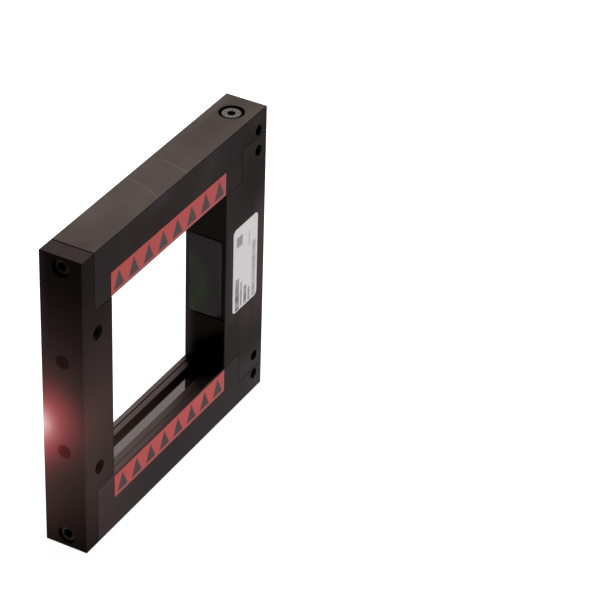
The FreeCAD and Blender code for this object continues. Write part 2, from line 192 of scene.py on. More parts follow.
# Grids of points in mm, each (rows, columns, 3), become one mesh. The last column joins the first;
# closed grids also join the last row to the first.
def putPiece(name, grids, closed, material, replaced=None):
    points, quads, start = [], [], 0
    for grid in grids:
        rows, columns = grid.shape[:2]
        index = start + np.arange(rows * columns).reshape(rows, columns)
        if closed:
            index = np.vstack([index, index[:1]])
        here, there = index[:-1], index[1:]
        quads.append(np.stack([here, np.roll(here, -1, 1), np.roll(there, -1, 1), there], -1).reshape(-1, 4))
        points.append(grid.reshape(-1, 3))
        start += rows * columns
    mesh = bpy.data.meshes.new(name)
    mesh.from_pydata(np.concatenate(points) * mm, [], np.concatenate(quads).tolist())
    whole = bmesh.new()
    whole.from_mesh(mesh)
    bmesh.ops.remove_doubles(whole, verts=whole.verts, dist=meshing["merge"])
    bmesh.ops.recalc_face_normals(whole, faces=whole.faces)
    whole.to_mesh(mesh)
    whole.free()
    mesh.shade_smooth()
    mesh.set_sharp_from_angle(angle=meshing["smooth"])
    mesh.materials.append(material)
    piece = bpy.data.objects.new(name, mesh)
    bpy.context.scene.collection.objects.link(piece)
    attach(piece, "root")
    if replaced:
        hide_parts(replaced)


# Where the bars end and meet, in mm, with heights from the middle. A pair is a span over which a mask goes
# from 0 to 1, here and below, where no note says otherwise.
edges = {
    "front": (-8.95, -8.85),  # the front faces lie before this
    "frontChamfer": (-8.9, -8.75),
    "chamferBack": (-8.65, -8.6),
    "face": (64.3, 64.4),  # the outer faces lie past this
    "chamfer": (64.0, 64.1),  # and their chamfers past this
    "windowMiddle": -5.1,
    "window": (40.5, 40.6),
    "plate": -56.5,  # joint beside the left bar's end plate
    "plateSeam": (0.4, 0.5),
    "plateLine": (0.3, 0.4),
    "step": 53.75,  # joint at the right bar's stepped ends
    "joint": (0.5, 0.6),
    "flat": (0.90, 0.98),  # largest part of a normal, on a chamfer and on a face
}

# Black anodised aluminium: fine blasted grain and faint stains from the bath
anodised = {
    "dark": (0.0382, 0.0313, 0.0318),
    "light": (0.0428, 0.0351, 0.0357),
    "frontDark": (0.0382, 0.0313, 0.0318),
    "frontLight": (0.0428, 0.0351, 0.0357),
    # painted shade in seams, chamfers and bores, and painted light in the front seam beside the left bar's
    # end plate
    "seamShade": (0.0012, 0.0008, 0.0007),
    "frontSeamShade": (0.024, 0.0196, 0.0199),
    "plateSeamLight": (0.050, 0.041, 0.042),
    "rightFace": (0.0275, 0.0225, 0.0229),
    "rightMottle": 0.15,
    "stain": 14, "grain": 0.12,  # sizes of the noise, in mm
    "grainBump": 0.12,
    "roughness": 0.62,
    "stainShare": 0.1,
    "grainShare": 0.12,
}


# 1 on faces square to an axis, 0 on chamfers and most of a bore, which take painted shade
def flatness(place):
    x, y, z = place.node("ShaderNodeNewGeometry", {}, {}, output="True Normal").split()
    return abs(x).most(abs(y)).most(abs(z)).step(*edges["flat"])


# 1 along the frame's outer edges and round its window, where no other bar is beside the chamfer
def openEdges(place):
    x, _, z = place.split()
    height = abs(z - middleZ)
    outer = abs(x).over(edges["chamfer"]).most(height.over(edges["chamfer"]))
    window = abs(x - edges["windowMiddle"] * mm).over(edges["window"]).most(height.over(edges["window"]))
    joints = x.near(edges["plate"], edges["joint"]).most(height.near(edges["step"], edges["joint"]))
    return outer.most(1 - window) * (1 - joints)


# 1 on the front faces of the bars
def frontFace(y):
    return 1 - y.over(edges["front"])


# Painted shade in seams, chamfers and bores: dark from above and milder on the front; beside the left bar's
# end plate the front seam is painted lighter, so it shows faint
def anodisedPattern(place, look):
    x, y, z = place.split()
    stain = place.noise(look["stain"], 4.0)
    grain = place.noise(look["grain"], 1.0)
    cloud = stain.step(*mottle)
    inFront = cloud.blend(look["frontDark"], look["frontLight"])
    tone = y.over(edges["front"]).blend(inFront, cloud.blend(look["dark"], look["light"]))
    onRight = x.over(edges["face"]) * (1 - look["rightMottle"] + look["rightMottle"] * cloud)
    tone = onRight.blend(tone, look["rightFace"])
    frontSeamShade = x.near(edges["plate"], edges["plateSeam"]).blend(look["frontSeamShade"], look["plateSeamLight"])
    seamShade = y.over(edges["frontChamfer"]).blend(frontSeamShade, look["seamShade"])
    line = x.near(edges["plate"], edges["plateLine"]) * abs(z - middleZ).over(edges["face"])
    rough = look["stainShare"] * (stain - 0.5) + look["grainShare"] * (grain - 0.5)
    return {
        "Base Color": (flatness(place).most(openEdges(place)) * (1 - line)).blend(seamShade, tone),
        "Roughness": look["roughness"] + rough,
        "Normal": grain.bump(look["grainBump"]),
    }


# 1 at a point and less round it, a bell curve of the distance with the given reach, in mm
def spot(place, middle, reach):
    return (place.away(middle) / (mm * reach)).bell()


# Patches on the faces that a mask picks: each has a middle and a reach in mm, a tone and a strength
def addPatches(place, colour, patches, mask):
    for middle, reach, tone, strength in patches:
        colour = (spot(place, middle, reach) * mask * strength).blend(colour, tone)
    return colour


# Tones that take over from each other along x, each over its span
def addTones(x, colour, tones, mask):
    for span, tone in tones:
        colour = (mask * x.over(span)).blend(colour, tone)
    return colour


# The top bar: darker towards its ends, with lighter and darker patches in front and on top, painted shade in
# front where the right bar meets it, painted shade on its top front chamfer and two faint sweeps of a cutter
topBar = {
    **anodised,
    "ends": (0.0310, 0.0253, 0.0258),
    "leftEnd": (-52, -24), "leftShare": 0.45,
    "rightEnd": (20, 40), "nearSide": (-8, 0), "nearShare": 0.35, "farSide": (4, 7), "farLoss": 0.7,
    "frontEnds": (0.0358, 0.0297, 0.0310),
    "frontLeft": (-46, -36), "frontRight": (26, 34), "frontHeight": (112, 117),
    "patches": [
        ((-12.0, -9.0, 128.5), 5.0, (0.062, 0.0525, 0.0570), 0.7),
        ((23.0, -9.0, 124.5), 4.0, (0.058, 0.0490, 0.0530), 0.5),
        # painted shade where the top bar meets the right bar
        ((54.0, -9.0, 116.5), 7.0, (0.0225, 0.0186, 0.0192), 0.8),
        ((57.5, -9.0, 127.5), 4.0, (0.0480, 0.0405, 0.0425), 0.6),
        ((-12.0, -9.0, 119.0), 5.0, (0.0340, 0.0262, 0.0265), 0.8),
        ((-28.0, -9.0, 121.5), 4.0, (0.0350, 0.0265, 0.0272), 0.8),
        ((18.0, -9.0, 116.5), 4.5, (0.0510, 0.0410, 0.0408), 0.6),
    ],
    "topPatches": [
        ((-53.6, -3.0, 129.0), 1.9, (0.0220, 0.0172, 0.0190), 0.5),
        ((-36.0, -2.0, 129.0), 5.0, (0.0330, 0.0272, 0.0276), 0.6),
        ((-36.0, 8.0, 129.0), 5.0, (0.0490, 0.0400, 0.0410), 0.6),
        ((10.0, 1.0, 129.0), 4.5, (0.0340, 0.0280, 0.0285), 0.6),
        ((28.0, 1.0, 129.0), 4.5, (0.0290, 0.0240, 0.0236), 0.6),
    ],
    # middle, radius and the y where each sweep starts to fade
    "sweeps": [(-49.5, 13.6, 42.0, 6.5), (-136.7, 35.7, 150.0, 3.0)],
    "sweep": (0.062, 0.053, 0.052), "sweepHalf": (0.05, 0.55), "sweepFade": 3, "sweepShare": 0.6,
    "topFace": (128.8, 128.95),
    # painted shade on the top front chamfer
    "edge": (0.0120, 0.0098, 0.0100), "edgeHeight": (128.6, 128.65),
}


# 1 along a circle on top, fading out towards the back
def sweepArc(x, y, centreX, centreY, radius, fade):
    dx = x - centreX * mm
    dy = y - centreY * mm
    arc = (dx * dx + dy * dy).root().near(radius, topBar["sweepHalf"])
    return arc * (1 - y.over((fade, fade + topBar["sweepFade"])))


def topBarPattern(place, look):
    pattern = anodisedPattern(place, look)
    x, y, z = place.split()
    front = frontFace(y)
    leftEnd = look["leftShare"] * (1 - x.over(look["leftEnd"]))
    near = look["nearShare"] + (1 - look["nearShare"]) * y.over(look["nearSide"])
    far = 1 - look["farLoss"] * y.over(look["farSide"])
    ends = leftEnd.most(x.over(look["rightEnd"]) * near * far)
    colour = (ends * (1 - front)).blend(pattern["Base Color"], look["ends"])
    frontEnds = (1 - x.over(look["frontLeft"])).most(x.over(look["frontRight"]))
    colour = (frontEnds * z.over(look["frontHeight"]) * front).blend(colour, look["frontEnds"])
    colour = addPatches(place, colour, look["patches"], front)
    colour = addPatches(place, colour, look["topPatches"], 1 - front)
    sweeps = sum(sweepArc(x, y, *sweep) for sweep in look["sweeps"])
    colour = (sweeps * z.over(look["topFace"]) * look["sweepShare"]).blend(colour, look["sweep"])
    # painted shade on the chamfer along the top front edge
    edge = (1 - flatness(place)) * (1 - y.over(edges["chamferBack"])) * z.over(look["edgeHeight"])
    pattern["Base Color"] = edge.blend(colour, look["edge"])
    return pattern


# Light of the status lamp on the bars near it: bell curves of the distance, each with a middle and a reach
# in mm and a colour, over a faint even veil
glow = {
    "veil": (0.0011, 0.0007, 0.0006),
    "layers": [
        ((-64.0, 13.0, 54.0), 4.20, (0.477, 0.645, 0.632)),
        ((-70.0, 8.2, 57.7), 8.31, (0.409, 0.0544, 0.060)),
        ((-64.8, 19.0, 46.0), 7.43, (0.791, 0.106, 0.120)),
        ((-56.4, 12.2, 54.8), 25.1, (0.0552, 0.0340, 0.0319)),
        ((-50.0, 22.0, 20.0), 11.7, (0.0947, 0.0437, 0.0311)),
    ],
    # only on the front of the left bar
    "frontLayers": [
        ((-57.0, -9.0, 29.5), 6.0, (0.0072, 0.0050, 0.0050)),
        ((-57.0, -9.0, 16.0), 6.5, (0.0072, 0.0044, 0.0030)),
    ],
    # only on the front of the bottom bar
    "bottomLayers": [((-48.0, -9.0, 8.0), 9.0, (0.0050, 0.0006, 0.0002))],
    # only in the tapped holes and on their countersinks
    "holeLayers": [
        ((-64.5, 6.6, 53.5), 8.0, (0.120, 0.004, 0.004)),
        ((-64.5, 0.0, 84.0), 6.0, (0.0016, 0.0003, 0.0001)),
        ((-55.0, -6.0, 34.5), 6.0, (0.0068, 0.0025, 0.0010)),
    ],
    # shares of the light in the holes, and what the countersinks lose of it
    "inSideHoles": 0.34, "inFrontHoles": 0.08, "countersinks": 0.8,
    "frontHoles": (24, 26),  # from the middle height, past the holes in the left face
    "lens": (-64.5, 6.6, 53.5), "lensReach": (2.2, 2.6),
}


# a colour times a strength
def tinted(place, colour, strength):
    return place.node("ShaderNodeVectorMath", {"operation": "SCALE"}, {0: colour, "Scale": strength})


# the layers added onto a light that is already there
def addLayers(place, light, layers, shown):
    for middle, reach, colour in layers:
        layer = tinted(place, colour, spot(place, middle, reach) * shown)
        light = place.node("ShaderNodeVectorMath", {"operation": "ADD"}, {0: light, 1: layer})
    return light


def glowLight(place, shown):
    return addLayers(place, tinted(place, glow["veil"], shown), glow["layers"], shown)


# share of that light inside the left bar's holes
def holeShare(place):
    front = abs(place.split()[2] - middleZ).over(glow["frontHoles"])
    return glow["inSideHoles"] + (glow["inFrontHoles"] - glow["inSideHoles"]) * front


# The bottom bar: painted light makes it a little lighter in front than on top, most of all at its lower edge
# and right end.
# In the window the strip before the rail changes along its length into painted shade, black in the right
# bar's shadow, and the top behind the rails gets painted light.
shade = (0.0004, 0.0002, 0.0002)
bottomBar = {
    **anodised,
    "dark": (0.0405, 0.0322, 0.0330),
    "light": (0.0450, 0.0359, 0.0367),
    # lighter front tones: painted light
    "frontDark": (0.0492, 0.0410, 0.0436),
    "frontLight": (0.0543, 0.0453, 0.0481),
    # painted light along the lower edge and right end
    "foot": (0.0640, 0.0560, 0.0580), "footHeight": (0, 6), "footShare": 0.75,
    "footEnd": (47, 60), "footEndHeight": (4, 11),
    "windowHeight": (24.0, 24.2), "windowEnd": (36, 37),
    "nearSide": (-6.6, -6.4), "nearLeft": (0.0500, 0.0345, 0.0368), "nearLeftEnd": (-44, -24),
    "nearTones": [
        ((-24, 6), (0.0340, 0.0228, 0.0236)),
        ((12, 20), (0.0620, 0.0370, 0.0380)),
        ((20, 31.5), shade),
    ],
    # painted light on the top behind the rails
    "far": (0.0500, 0.0415, 0.0430), "farSide": (6.8, 7.0), "farStart": (-28, -20), "farEnd": (-14, 0),
    "seamMiddle": 6.55, "seamHalf": (0.2, 0.35),
}


# 1 along the seam behind the rails, where a dark line of painted shade goes
def farSeamShade(y):
    return y.near(bottomBar["seamMiddle"], bottomBar["seamHalf"])


def bottomBarPattern(place, look):
    pattern = anodisedPattern(place, look)
    x, y, z = place.split()
    front = frontFace(y)
    foot = look["footShare"] * (1 - z.over(look["footHeight"]))
    foot = foot.most(x.over(look["footEnd"]) * (1 - z.over(look["footEndHeight"])))
    colour = (foot * front).blend(pattern["Base Color"], look["foot"])
    inWindow = z.over(look["windowHeight"]) * (1 - x.over(look["windowEnd"]))
    near = inWindow * (1 - front) * (1 - y.over(look["nearSide"]))
    colour = (near * (1 - x.over(look["nearLeftEnd"]))).blend(colour, look["nearLeft"])
    colour = addTones(x, colour, look["nearTones"], near)
    far = x.over(look["farStart"]) * (1 - x.over(look["farEnd"]))
    colour = (inWindow * y.over(look["farSide"]) * far).blend(colour, look["far"])
    pattern["Base Color"] = (inWindow * farSeamShade(y)).blend(colour, look["seamShade"])
    pattern["Emission Color"] = addLayers(place, glowLight(place, front), glow["bottomLayers"], front)
    return pattern


# The right bar, in front: painted light round and below the label, a painted sheen beside its far edge and at
# the foot, painted shade high up.
# In the window: painted light along the back edge and above the cover, a painted shadow line under the cover
# and painted shade, black, low down.
rightBar = {
    **anodised,
    # middle and half size of the label, in x and z
    "labelMiddle": (49.7, 65.6), "labelHalf": (9.2, 19.25),
    # painted light round the label
    "halo": (0.0560, 0.0460, 0.0470), "haloReach": (0.5, 6), "haloShare": 0.8,
    "cutSide": (50, 56), "cutHeight": (66, 84), "haloTop": (82, 86), "topLoss": 0.5,
    # painted shade high up where the top bar meets it, and painted light below the label
    "patches": [
        ((54.0, -9.0, 102.0), 9.0, (0.0260, 0.0214, 0.0218), 0.8),
        ((52.0, -9.0, 41.0), 4.0, (0.0700, 0.0585, 0.0590), 0.6),
    ],
    # painted sheen beside the far edge and at the foot
    "sheen": (0.0700, 0.0565, 0.0570), "sheenSide": (54, 60.5), "sheenMiddle": 62, "sheenReach": (14, 36),
    "foot": (0.0580, 0.0492, 0.0520), "footSide": (44, 47), "footHeight": (14, 25),
    # in the window: painted light above the cover, a painted shadow line under it, painted shade that goes
    # black low down and painted light along the back edge
    "innerFace": (35.0, 35.1), "innerDepth": (-8.8, -8.6),
    "inner": (0.0530, 0.0430, 0.0470), "innerHeight": (83, 83.5),
    "under": (0.001, 0.0006, 0.0006), "underMiddle": 46.9, "underHalf": (0.3, 0.6), "underEnd": (2, 6),
    "low": (0.002, 0.0012, 0.0012), "lowHeight": (33.5, 40), "lowSlope": 0.75,
    "backEdgeLight": (0.170, 0.140, 0.140), "backDepth": (3.5, 9.5), "backHeight": (82, 84),
}


def rightBarPattern(place, look):
    pattern = anodisedPattern(place, look)
    x, y, z = place.split()
    front = frontFace(y)
    besideX = abs(x - look["labelMiddle"][0] * mm) - look["labelHalf"][0] * mm
    besideZ = abs(z - look["labelMiddle"][1] * mm) - look["labelHalf"][1] * mm
    # painted light round the label
    halo = 1 - besideX.most(besideZ).over(look["haloReach"])
    halo = halo * (1 - x.over(look["cutSide"]) * z.over(look["cutHeight"]))
    halo = halo * (1 - look["topLoss"] * z.over(look["haloTop"]))
    colour = (halo * front * look["haloShare"]).blend(pattern["Base Color"], look["halo"])
    colour = addPatches(place, colour, look["patches"], front)
    # painted sheen beside the far edge, then at the foot
    sheen = x.over(look["sheenSide"]) * z.near(look["sheenMiddle"], look["sheenReach"])
    colour = (sheen * front).blend(colour, look["sheen"])
    foot = x.over(look["footSide"]) * (1 - z.over(look["footHeight"]))
    colour = (foot * front).blend(colour, look["foot"])
    # painted light and shade on the face in the window
    inside = (1 - x.over(look["innerFace"])) * y.over(look["innerDepth"])
    colour = (inside * z.over(look["innerHeight"])).blend(colour, look["inner"])
    under = z.near(look["underMiddle"], look["underHalf"]) * (1 - y.over(look["underEnd"]))
    colour = (inside * under).blend(colour, look["under"])
    low = 1 - (z + look["lowSlope"] * y).over(look["lowHeight"])
    colour = (inside * low).blend(colour, look["low"])
    backEdgeLight = y.over(look["backDepth"]) * (1 - z.over(look["backHeight"]))
    pattern["Base Color"] = (inside * backEdgeLight).blend(colour, look["backEdgeLight"])
    return pattern


# The left bar: a deeper black, lit red round the status lamp, with a painted highlight on its front left
# chamfer and painted light along its back edge high up
leftBar = {
    **anodised,
    "dark": (0.0186, 0.0141, 0.0154),
    "light": (0.0216, 0.0164, 0.0179),
    "frontDark": (0.0171, 0.0144, 0.0140),
    "frontLight": (0.0199, 0.0166, 0.0160),
    # painted shade in the front seams, painted light beside the end plate
    "frontSeamShade": (0.008, 0.0062, 0.0060),
    "plateSeamLight": (0.038, 0.032, 0.031),
    # painted highlight on the front left chamfer, and painted light along the back edge high up
    "edge": (0.055, 0.0450, 0.0450), "edgeSide": (-64.15, -64.1),
    "backEdgeLight": (0.064, 0.0500, 0.0540),
    "backDepth": (5, 9), "backHeight": (84, 94), "backSide": (-64.45, -64.3),
    # the two holes in the left face: the height between them, and how far from it they are
    "holeMiddle": 64, "holeOffset": 20, "holeReach": (3.6, 3.8),
    # where the lamp's light ends
    "sideDepth": (-64.2, -64.0), "frontDepth": (-8.7, -8.5),
    "backFace": (8.7, 8.95), "windowSide": (-45.8, -45.3),
}


# full light on the outer faces, less in holes and countersinks, none at the back or inside the window
def leftBarPattern(place, look):
    pattern = anodisedPattern(place, look)
    x, y, z = place.split()
    # painted highlight on the front left chamfer and painted light along the back edge
    chamfer = 1 - flatness(place)
    edge = chamfer * (1 - x.over(look["edgeSide"])) * (1 - y.over(edges["chamferBack"]))
    colour = edge.blend(pattern["Base Color"], look["edge"])
    backEdgeLight = y.over(look["backDepth"]) * z.over(look["backHeight"]) * (1 - x.over(look["backSide"]))
    pattern["Base Color"] = backEdgeLight.blend(colour, look["backEdgeLight"])
    off = abs(z - look["holeMiddle"] * mm) - look["holeOffset"] * mm
    sideHoles = 1 - (off * off + y * y).root().over(look["holeReach"])
    countersink = chamfer * sideHoles.most(1 - openEdges(place))
    outside = (1 - x.over(look["sideDepth"])).most(1 - y.over(look["frontDepth"]))
    outside = outside * (1 - glow["countersinks"] * countersink)
    outside = outside.most(1 - place.away(glow["lens"]).over(glow["lensReach"]))
    inside = holeShare(place)
    shown = inside + (1 - inside) * outside
    shown = shown * (1 - y.over(look["backFace"])) * (1 - x.over(look["windowSide"]))
    light = addLayers(place, glowLight(place, shown), glow["frontLayers"], frontFace(y))
    pattern["Emission Color"] = addLayers(place, light, glow["holeLayers"], countersink)
    return pattern


matt = {"IOR": 1.0}  # no sheen
metal = {"Metallic": 1.0}
lit = {"Emission Strength": 1.0}
litMatt = {**matt, **lit}
dress(makeFinish("anodised right bar", matt, rightBarPattern, rightBar), "right_bar")
dress(makeFinish("anodised top bar", matt, topBarPattern, topBar), "top_bar")
dress(makeFinish("anodised bottom bar", litMatt, bottomBarPattern, bottomBar), "bottom_bar")
dress(makeFinish("anodised left bar", litMatt, leftBarPattern, leftBar), "left_bar")
print("bars dressed")

# Threads cut in the left bar's four holes: a triangle wave that climbs one pitch a turn
tapped = {
    "crest": 2.10,
    "root": 2.48,
    "outer": 2.495,
    "pitch": 0.8,
    "columns": 40,
    # mouth below the countersink, direction inwards, length
    "holes": [
        ((-55.0, -8.5, 34.5), (0, 1, 0), 17.0),
        ((-55.0, -8.5, 94.5), (0, 1, 0), 17.0),
        ((-64.0, 0.0, 44.0), (1, 0, 0), 9.4),
        ((-64.0, 0.0, 84.0), (1, 0, 0), 9.4),
    ],
    "tone": (0.003, 0.0026, 0.0025),
    "sheen": (0.006, 0.0052, 0.005),
    "grain": 0.3, "roughness": 0.4, "spread": 0.2,
}


# 0 to 1 and back along each pitch, shifted by a turn round the axis
def threadWave(along, pitch, columns):
    climb = along[:, None] / pitch + np.arange(columns) / columns
    return abs(2 * (climb % 1) - 1)


def tappedPattern(place):
    grain = place.noise(tapped["grain"])
    return {
        "Base Color": grain.step(*mottle).blend(tapped["tone"], tapped["sheen"]),
        "Roughness": tapped["roughness"] + tapped["spread"] * grain,
        # the status lamp's red light in the holes, painted in as glow
        "Emission Color": addLayers(place, glowLight(place, holeShare(place)), glow["holeLayers"], 1.0),
    }


tappedFinish = makeFinish("tapped holes", {"IOR": 1.1, **lit}, tappedPattern)
linings = []
for mouth, inward, length in tapped["holes"]:
    along = np.linspace(0, length, int(length / tapped["pitch"] * rowsPerPitch))
    wave = threadWave(along, tapped["pitch"], tapped["columns"])
    cut = tapped["crest"] + (tapped["root"] - tapped["crest"]) * wave
    rows = list(zip(cut, along)) + [(tapped["outer"], length), (tapped["outer"], 0)]
    linings.append(lathe(rows, tapped["columns"], mouth, inward))
putPiece("tapped_threads", linings, True, tappedFinish)


# Socket head cap screws: hexagonal socket, rounded rim, ribbed side and a threaded shank
screwForm = {
    "cone": 0.5, "bevel": 0.15, "bevelShare": 0.6,  # below the socket, and round its mouth
    "rimRows": 7, "ribTop": 0.2, "ribFoot": 0.25, "foot": 0.15,
    "columnsPerRib": 4, "shankColumns": 36,
    "innerSoft": 0.08, "outerSoft": 0.1, "faceDepth": (0.02, 0.1),
    "grain": 0.5, "grainBump": 0.08,
}
rightScrew = {
    "head": 8.3, "height": 3.5, "hex": 3.0, "depth": 2.0, "hexTurn": -0.12, "rim": 0.45,
    "ribs": 48, "ribDepth": 0.12,
    "crest": 2.48, "root": 2.02, "pitch": 0.8, "length": 17.85,
    "places": [((53.0, 0.0, 128.6), (0, 0, 1)), ((53.0, 0.0, 0.4), (0, 0, -1))],
    "dark": (0.141, 0.124, 0.119), "light": (0.200, 0.178, 0.171), "dot": (0.012, 0.010, 0.010),
    "dots": 9, "dotTurn": 0.56, "dotRing": 2.6, "dotSpan": (0.204, 0.476),
    "faceRing": (1.0, 3.57),  # radii of the face ring, with painted shade inside and outside it
    # painted shade in the socket and down the side
    "recessShade": (0.004, 0.0035, 0.0035), "roughness": 0.36, "spread": 0.12,
}
leftScrew = {
    "head": 7.0, "height": 4.0, "hex": 3.0, "depth": 2.0, "hexTurn": turn / 4, "rim": 0.35,
    "ribs": 42, "ribDepth": 0.12,
    "crest": 1.98, "root": 1.58, "pitch": 0.7, "length": 12.0,
    "places": [((-63.0, 0.0, 124.0), (-1, 0, 0)), ((-63.0, 0.0, 5.0), (-1, 0, 0))],
    "dark": (0.0035, 0.0030, 0.0028), "light": (0.0052, 0.0045, 0.0042),
    "faceRing": (2.05, 3.1),
    # painted light on the lower head
    "lowDark": (0.0092, 0.0093, 0.0098), "lowLight": (0.0112, 0.0113, 0.0119), "lowHeight": (60, 70),
    # painted shade in the socket and down the side
    "recessShade": (0.0006, 0.0005, 0.0005), "lit": 1.0, "roughness": 0.36, "spread": 0.14,
}


# a hexagon's radius: half its width over the cosine of the angle from the nearest flat's middle
def hexRadius(across, columns, shift):
    angle = turn * np.arange(columns) / columns + shift
    return across / 2 / np.cos(angle % (turn / 6) - turn / 12)


def capScrew(look, place, axis):
    columns = look["ribs"] * screwForm["columnsPerRib"]
    radius = look["head"] / 2
    rim = look["rim"]
    base = -look["height"]
    bottom = -look["depth"]
    socket = hexRadius(look["hex"], columns, look["hexTurn"])
    wave = np.cos(look["ribs"] * turn * np.arange(columns) / columns)
    side = radius - look["ribDepth"] * (0.5 + 0.5 * wave)
    rows = [(0, bottom - screwForm["cone"]), (socket, bottom), (socket, -screwForm["bevel"])]
    rows += [(look["hex"] * screwForm["bevelShare"], 0)]
    for bend in np.linspace(0, turn / 4, screwForm["rimRows"]):
        rows.append((radius - rim + rim * np.sin(bend), rim * np.cos(bend) - rim))
    rows += [(side, -rim - screwForm["ribTop"]), (side, base + screwForm["ribFoot"])]
    rows += [(radius - screwForm["foot"], base), (0, base)]
    along = np.linspace(0, look["length"], int(look["length"] / look["pitch"] * rowsPerPitch))
    tip = np.minimum(1, (look["length"] - along) / look["pitch"])[:, None]
    cut = threadWave(along, look["pitch"], screwForm["shankColumns"]) * tip
    thread = look["root"] + (look["crest"] - look["root"]) * cut
    shank = [(0, base)] + list(zip(thread, base - along)) + [(0, base - look["length"])]
    return [lathe(rows, columns, place, axis), lathe(shank, screwForm["shankColumns"], place, axis)]


# 1 on the face ring of a head, 0 in the socket, outside and below the face, which take painted shade
def faceRingMask(look, radius, depth):
    inner, outer = look["faceRing"]
    ring = radius.over((inner - screwForm["innerSoft"], inner + screwForm["innerSoft"]))
    ring = ring * (1 - radius.over((outer - screwForm["outerSoft"], outer + screwForm["outerSoft"])))
    return ring * (1 - depth.over(screwForm["faceDepth"]))


# steel with a ring of small punched dots on the head, and painted shade in the socket and down the side
def rightScrewPattern(place, look):
    x, y, z = place.split()
    headX, _, headZ = look["places"][0][0]
    dx = x - headX * mm
    brushed = place.noise(screwForm["grain"], 3.0)
    radius = (dx * dx + y * y).root()
    faceRing = faceRingMask(look, radius, (headZ * mm - middleZ) - abs(z - middleZ))
    off = radius - look["dotRing"] * mm
    bearing = y.maths("ARCTAN2", y, dx) / turn * look["dots"]
    slot = (bearing + 0.5 - look["dotTurn"]).fraction() - 0.5
    along = slot * (turn * look["dotRing"] * mm / look["dots"])
    dot = 1 - (off * off + along * along).root().over(look["dotSpan"])
    tone = brushed.step(*mottle).blend(look["dark"], look["light"])
    return {
        "Base Color": faceRing.blend(look["recessShade"], dot.blend(tone, look["dot"])),
        "Roughness": look["roughness"] + look["spread"] * brushed,
        "Normal": brushed.bump(screwForm["grainBump"]),
    }


# black oxide with painted light on the lower head, painted shade in the socket and down the side, and the
# status lamp's light on the face ring
def leftScrewPattern(place, look):
    x, y, z = place.split()
    headX, _, headZ = look["places"][0][0]
    cloud = place.noise(screwForm["grain"], 3.0)
    off = abs(z - middleZ) - (headZ * mm - middleZ)
    faceRing = faceRingMask(look, (off * off + y * y).root(), x - headX * mm)
    share = cloud.step(*mottle)
    lowLitTone = share.blend(look["lowDark"], look["lowLight"])
    tone = z.over(look["lowHeight"]).blend(lowLitTone, share.blend(look["dark"], look["light"]))
    return {
        "Base Color": faceRing.blend(look["recessShade"], tone),
        "Emission Color": glowLight(place, faceRing * look["lit"]),
        "Roughness": look["roughness"] + look["spread"] * cloud,
        "Normal": cloud.bump(screwForm["grainBump"]),
    }


rightGrids = [grid for place, axis in rightScrew["places"] for grid in capScrew(rightScrew, place, axis)]
leftGrids = [grid for place, axis in leftScrew["places"] for grid in capScrew(leftScrew, place, axis)]
rightSteel = makeFinish("bright steel", metal, rightScrewPattern, rightScrew)
leftSteel = makeFinish("black oxide", {**metal, **lit}, leftScrewPattern, leftScrew)
putPiece("right_cap_screws", rightGrids, False, rightSteel, "right_screws")
putPiece("left_cap_screws", leftGrids, False, leftSteel, "left_screws")
print("screws and threads made")

# Marker strips: red film, duller at the far end, with a row of dark triangles and pale lower and right edges
strips = {
    "red": {"top": (0.56, 0.121, 0.117), "bottom": (0.65, 0.136, 0.130)},
    "shade": {"top": (0.52, 0.111, 0.107), "bottom": (0.61, 0.126, 0.120)},
    "mark": (0.112, 0.091, 0.096),
    "pitch": {"top": 10.0, "bottom": 9.9},
    "first": {"top": 5.15, "bottom": 5.55},  # middle of the first triangle, from the strip's left end
    "halfBase": 3.6,
    "height": 7.6,
    "rise": 1.1,  # triangles above the strip's lower edge
    "soft": (-0.5, 0.5), "footSoft": (-0.05, 0.08),
    "far": (0.45, 0.120, 0.118), "farReach": (0, 18), "farShare": 0.4,
    "edge": (0.46, 0.178, 0.172), "lowEdge": (0.3, 1.1), "endEdge": (0.2, 1.0), "edgeShare": 0.6,
    "fibre": 3, "grain": 0.3, "grainBump": 0.05, "roughness": 0.38, "spread": 0.12,
}


# A triangle is where the distance from its middle line is under the half width left at that height
def stripPattern(place, corner, end, side):
    x, _, z = place.split()
    fibre = place.noise(strips["fibre"], 3.0)
    pitch = strips["pitch"][side] * mm
    row = ((x - (corner.x + strips["first"][side] * mm)) / pitch + 0.5).fraction()
    across = abs(row - 0.5) * pitch
    up = (z - (corner.z + strips["rise"] * mm)) / (strips["height"] * mm)
    slack = (1 - up) * (strips["halfBase"] * mm) - across
    mark = slack.over(strips["soft"]) * up.step(*strips["footSoft"])
    toEnd = end.x - x
    film = fibre.blend(strips["shade"][side], strips["red"][side])
    film = (strips["farShare"] * (1 - toEnd.over(strips["farReach"]))).blend(film, strips["far"])
    pale = (1 - (z - corner.z).over(strips["lowEdge"])).most(1 - toEnd.over(strips["endEdge"]))
    film = (pale * strips["edgeShare"]).blend(film, strips["edge"])
    return {
        "Base Color": mark.blend(film, strips["mark"]),
        "Roughness": strips["roughness"] + strips["spread"] * fibre,
        "Normal": place.noise(strips["grain"]).bump(strips["grainBump"]),
    }


for side in ("bottom", "top"):
    stripName = side + "_marker_strip"
    corner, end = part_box(stripName)
    dress(makeFinish(side + " strip", matt, stripPattern, corner, end, side), stripName)

